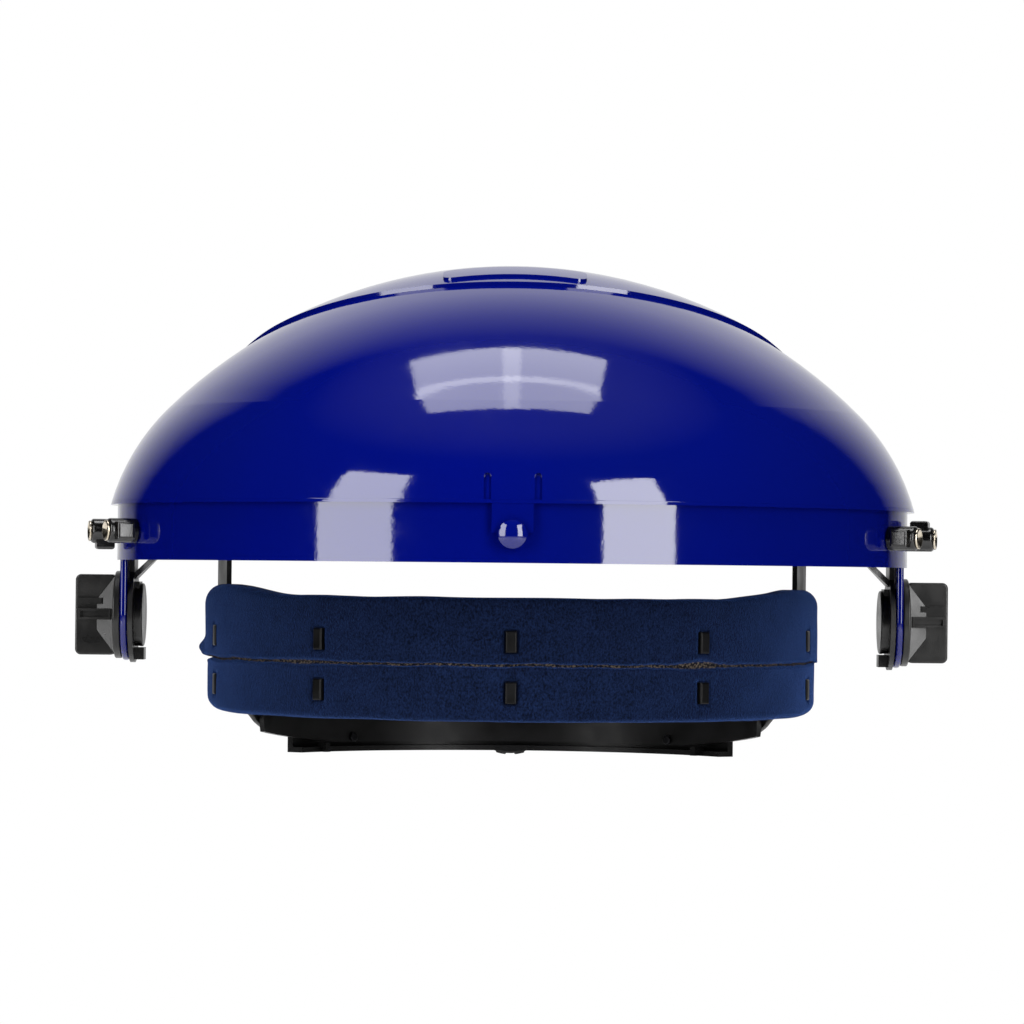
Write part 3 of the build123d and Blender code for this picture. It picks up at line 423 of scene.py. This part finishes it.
def strap_edges(y):
    """Lower and upper edge of the strap at one place along it."""
    for start, end in zip(STRAP_STATIONS, STRAP_STATIONS[1:]):
        if y <= end[0]:
            share = (y - start[0]) / (end[0] - start[0])
            return [start[index] + share * (end[index] - start[index]) for index in (1, 2)]
    return STRAP_STATIONS[-1][1:]


def strap_middle_x(y):
    """Middle of the strap's wall, between the band's ellipse and the rear unit's arc."""
    on_band = STRAP_FRONT_HALF_WIDTH * math.sqrt(1 - (y / STRAP_FRONT_HALF_LENGTH) ** 2)
    on_rear = math.sqrt(STRAP_BACK_X ** 2 - (y - REAR_CENTRE_Y) ** 2)
    share = smooth(y, 7.0, 36.0)
    return on_band * (1 - share) + on_rear * share + 0.8


def side_strap(side, side_name):
    bpy.ops.object.select_all(action="DESELECT")
    bpy.ops.mesh.primitive_grid_add(x_subdivisions=44, y_subdivisions=14, size=1.0)
    made = bare_mesh("flexible_side_strap_" + side_name)
    first, last = STRAP_STATIONS[0][0], STRAP_STATIONS[-1][0]
    for vertex in made.data.vertices:
        y = first + (vertex.co.x + 0.5) * (last - first)
        low, high = strap_edges(y)
        height = low + (vertex.co.y + 0.5) * (high - low)
        vertex.co = Vector((side * strap_middle_x(y), y, height)) * MM
    bpy.ops.object.mode_set(mode="EDIT")
    bpy.ops.mesh.select_all(action="SELECT")
    bpy.ops.mesh.normals_make_consistent(inside=False)
    bpy.ops.object.mode_set(mode="OBJECT")
    wall = made.modifiers.new("wall", "SOLIDIFY")
    wall.thickness, wall.offset = STRAP_WALL, 0.0
    bpy.ops.object.modifier_apply(modifier=wall.name)
    rounded = made.modifiers.new("rounded", "BEVEL")
    rounded.width, rounded.segments = 0.3 * MM, 2
    bpy.ops.object.modifier_apply(modifier=rounded.name)
    bpy.ops.object.shade_smooth_by_angle(angle=math.radians(35))
    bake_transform(made)
    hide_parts("side_strap_" + side_name)
    return made


side_straps = [side_strap(-1, "left"), side_strap(1, "right")]
print("side straps", [len(strap.data.polygons) for strap in side_straps])

# %% [markdown]
# ## Crown plastic
# The dome is injection-moulded ABS. The mould is polished, so the surface mirrors, and
# handling leaves fine scuffs. A flat glossy blue would look like glass, so a slow noise moves
# the colour a little, and a finer one dulls the mirror where the scuffs are.

# %% Crown: injection-moulded ABS
PLASTIC_IOR = 1.53


def moulded_abs(name, smooth_at, worn_at):
    """Polished blue plastic; its roughness runs from smooth_at to worn_at in the scuffs."""
    made, tree, shader, place = start_material(name, IOR=PLASTIC_IOR)
    cloudy = add_node(tree, "ShaderNodeTexNoise", {"Vector": place, "Scale": 9.0, "Detail": 2.0})
    colour = ramp(tree, cloudy.outputs["Fac"], linear("#01075a"), linear("#020955"), 0.35, 0.65)
    tree.links.new(colour, shader.inputs["Base Color"])
    scuffs = add_node(
        tree, "ShaderNodeTexNoise", {"Vector": place, "Scale": 60.0, "Detail": 6.0, "Roughness": 0.7})
    worn = ramp(tree, scuffs.outputs["Fac"], smooth_at, worn_at, 0.45, 0.78)
    tree.links.new(worn, shader.inputs["Roughness"])
    grain = add_node(tree, "ShaderNodeTexNoise", {"Vector": place, "Scale": 900.0, "Detail": 2.0})
    bump = add_node(
        tree, "ShaderNodeBump", {"Height": grain.outputs["Fac"], "Strength": 0.02, "Distance": 0.0004})
    tree.links.new(bump.outputs["Normal"], shader.inputs["Normal"])
    return made


# %% [markdown]
# ## Black plastics
# Knobs and brackets are moulded nylon, the band and its straps polyethylene, and the latches
# a glossier nylon. A spark-eroded mould leaves a fine even grain, so most of the black is
# satin. One function makes them all, each with its own shades, roughness and shine. The grain
# is a bump, because it is far finer than any face of the mesh.

# %% Knobs, brackets, band and latches: moulded nylon and polyethylene


def moulded_nylon(name, low, high, roughness, shine=0.5):
    """Grained plastic between two shades."""
    made, tree, shader, place = start_material(name, IOR=PLASTIC_IOR, Specular_IOR_Level=shine)
    mottle = add_node(tree, "ShaderNodeTexNoise", {"Vector": place, "Scale": 120.0, "Detail": 4.0})
    colour = ramp(tree, mottle.outputs["Fac"], linear(low), linear(high), 0.35, 0.7)
    tree.links.new(colour, shader.inputs["Base Color"])
    satin = ramp(tree, mottle.outputs["Fac"], roughness - 0.06, roughness + 0.08, 0.3, 0.7)
    tree.links.new(satin, shader.inputs["Roughness"])
    grain = add_node(tree, "ShaderNodeTexVoronoi", {"Vector": place, "Scale": 2600.0})
    bump = add_node(
        tree, "ShaderNodeBump", {"Height": grain.outputs["Distance"], "Strength": 0.08, "Distance": 0.0002})
    tree.links.new(bump.outputs["Normal"], shader.inputs["Normal"])
    return made


# %% [markdown]
# ## Metals
# The eyelets are nickel plated, the rivets and the knob screw zinc plated, the housing screws
# blackened, and the knob inserts turned brass. Plate is never even, so a noise mixes a clean
# and a tarnished shade, and the tarnished places are darker and rougher.

# %% Metals: nickel plate, zinc plate, blackened steel and brass


def plated(name, colour, dark, roughness):
    """Metal between a clean and a tarnished shade."""
    made, tree, shader, place = start_material(name, Metallic=1.0)
    tarnish = add_node(tree, "ShaderNodeTexNoise", {"Vector": place, "Scale": 420.0, "Detail": 3.0})
    shade = ramp(tree, tarnish.outputs["Fac"], linear(dark), linear(colour), 0.25, 0.6)
    tree.links.new(shade, shader.inputs["Base Color"])
    dulled = ramp(tree, tarnish.outputs["Fac"], roughness + 0.12, roughness, 0.3, 0.7)
    tree.links.new(dulled, shader.inputs["Roughness"])
    return made


# %% [markdown]
# ## Sweatband cloth
# The cloth is napped: its face is raised with wire brushes, so it scatters light and pales
# where it is seen edge on, which the sheen gives. The real fibres are too fine to show, so
# they are drawn about half a millimetre wide and somewhat taller than that. A hair system
# could show single fibres, but at this size a bump says the same with far fewer points. The
# seam attribute says where the cut foam shows, nearly black with tan crumbs, and the slot
# attribute where shade is painted on the cloth round a hook tab, for the shadow in the slot.

# %% Sweatband: brushed navy cloth over foam


def napped_cloth():
    """Brushed navy cloth with its open seam, and painted shade round its slots."""
    made, tree, shader, place = start_material(
        "brushed_navy_cloth", Roughness=0.92, Sheen_Roughness=0.38,
        Sheen_Tint=linear("#5580dc"), Specular_IOR_Level=0.03)
    upright = add_node(tree, "ShaderNodeMapping", {"Vector": place, "Scale": (1.0, 1.0, 0.65)})
    fibres = add_node(
        tree, "ShaderNodeTexNoise",
        {"Vector": upright.outputs["Vector"], "Scale": 1900.0, "Detail": 3.0, "Roughness": 0.7})
    patches = add_node(tree, "ShaderNodeTexNoise", {"Vector": place, "Scale": 150.0, "Detail": 4.0})
    soft_patches = add_node(
        tree, "ShaderNodeMath", {0: patches.outputs["Fac"], 1: 0.16}, operation="MULTIPLY")
    both = add_node(
        tree, "ShaderNodeMath", {0: fibres.outputs["Fac"], 1: soft_patches.outputs["Value"]},
        operation="ADD")
    cloth = ramp(tree, both.outputs["Value"], linear("#02040d"), linear("#13203f"), 0.42, 0.80)
    seam = add_node(tree, "ShaderNodeAttribute", attribute_name="seam").outputs["Fac"]
    slot_and_painted_shade = add_node(tree, "ShaderNodeAttribute", attribute_name="slot_and_painted_shade").outputs["Fac"]
    crumbs = add_node(tree, "ShaderNodeTexNoise", {"Vector": place, "Scale": 1300.0, "Detail": 2.0})
    foam = ramp(tree, crumbs.outputs["Fac"], linear("#0c0c10"), linear("#5c5348"), 0.46, 0.64)
    frayed = add_node(tree, "ShaderNodeMath", {0: crumbs.outputs["Fac"], 1: 0.55}, operation="MULTIPLY")
    torn = add_node(tree, "ShaderNodeMath", {0: seam, 1: frayed.outputs["Value"]}, operation="ADD")
    open_seam = ramp(tree, torn.outputs["Value"], 0.0, 1.0, 0.78, 0.98)
    with_seam = add_node(
        tree, "ShaderNodeMix", {"Factor": open_seam, "A": cloth, "B": foam}, data_type="RGBA")
    # Painted shade: round each slot the cloth is darkened towards near black, for the shadow in the slot.
    shade = ramp(tree, slot_and_painted_shade, 0.0, 0.75, 0.35, 0.9)
    cloth_with_painted_shade = add_node(
        tree, "ShaderNodeMix", {"Factor": shade, "A": with_seam.outputs["Result"], "B": linear("#05060c")},
        data_type="RGBA")
    tree.links.new(cloth_with_painted_shade.outputs["Result"], shader.inputs["Base Color"])
    tree.links.new(ramp(tree, open_seam, 0.46, 0.05), shader.inputs["Sheen Weight"])
    bump = add_node(
        tree, "ShaderNodeBump", {"Height": both.outputs["Value"], "Strength": 0.8, "Distance": 0.0006})
    tree.links.new(bump.outputs["Normal"], shader.inputs["Normal"])
    return made


# %% [markdown]
# ## Dressing the pieces
# Every CAD node names a slot, and each slot gets one finish. The housing screws differ from
# the rest of their slot, so they are looked up by name first.

# %% Dress the CAD nodes
crown_finish = moulded_abs("moulded_abs", 0.045, 0.11)
nylon_finish = moulded_nylon("satin_nylon", "#0a0a0a", "#100f0e", 0.32, 0.4)
band_finish = moulded_nylon("band_polyethylene", "#070707", "#0b0b0c", 0.34, 0.12)
latch_finish = moulded_nylon("glossy_latch_nylon", "#060606", "#0a0a0b", 0.17)
washer_finish = moulded_nylon("natural_nylon", "#c9c6bb", "#d6d3c8", 0.45)
nickel_finish = plated("nickel_plate", "#d8cfbf", "#a89c86", 0.16)
zinc_finish = plated("zinc_plate", "#b9bcc0", "#8f9296", 0.28)
blackened_finish = plated("blackened_steel", "#1b1b1d", "#0c0c0d", 0.38)
brass_finish = plated("turned_brass", "#c9a14a", "#a37f35", 0.25)
cloth_finish = napped_cloth()
FINISH_OF_SLOT = {
    "crown_plastic": crown_finish,
    "black_nylon": nylon_finish,
    "black_band": band_finish,
    "latch_plastic": latch_finish,
    "washer_plastic": washer_finish,
    "nickel": nickel_finish,
    "steel": zinc_finish,
    "brass_insert": brass_finish,
    "navy_cloth": cloth_finish,
}
FINISH_OF_NODE = {"housing_screws": blackened_finish}
for part in frame["record"]["subparts"]:
    shape = frame["nodes"][part["node"]].data
    shape.materials.clear()
    shape.materials.append(FINISH_OF_NODE.get(part["node"], FINISH_OF_SLOT[part["material_slot"]]))
sweatband.data.materials.append(cloth_finish)
for strap in side_straps:
    strap.data.materials.append(band_finish)
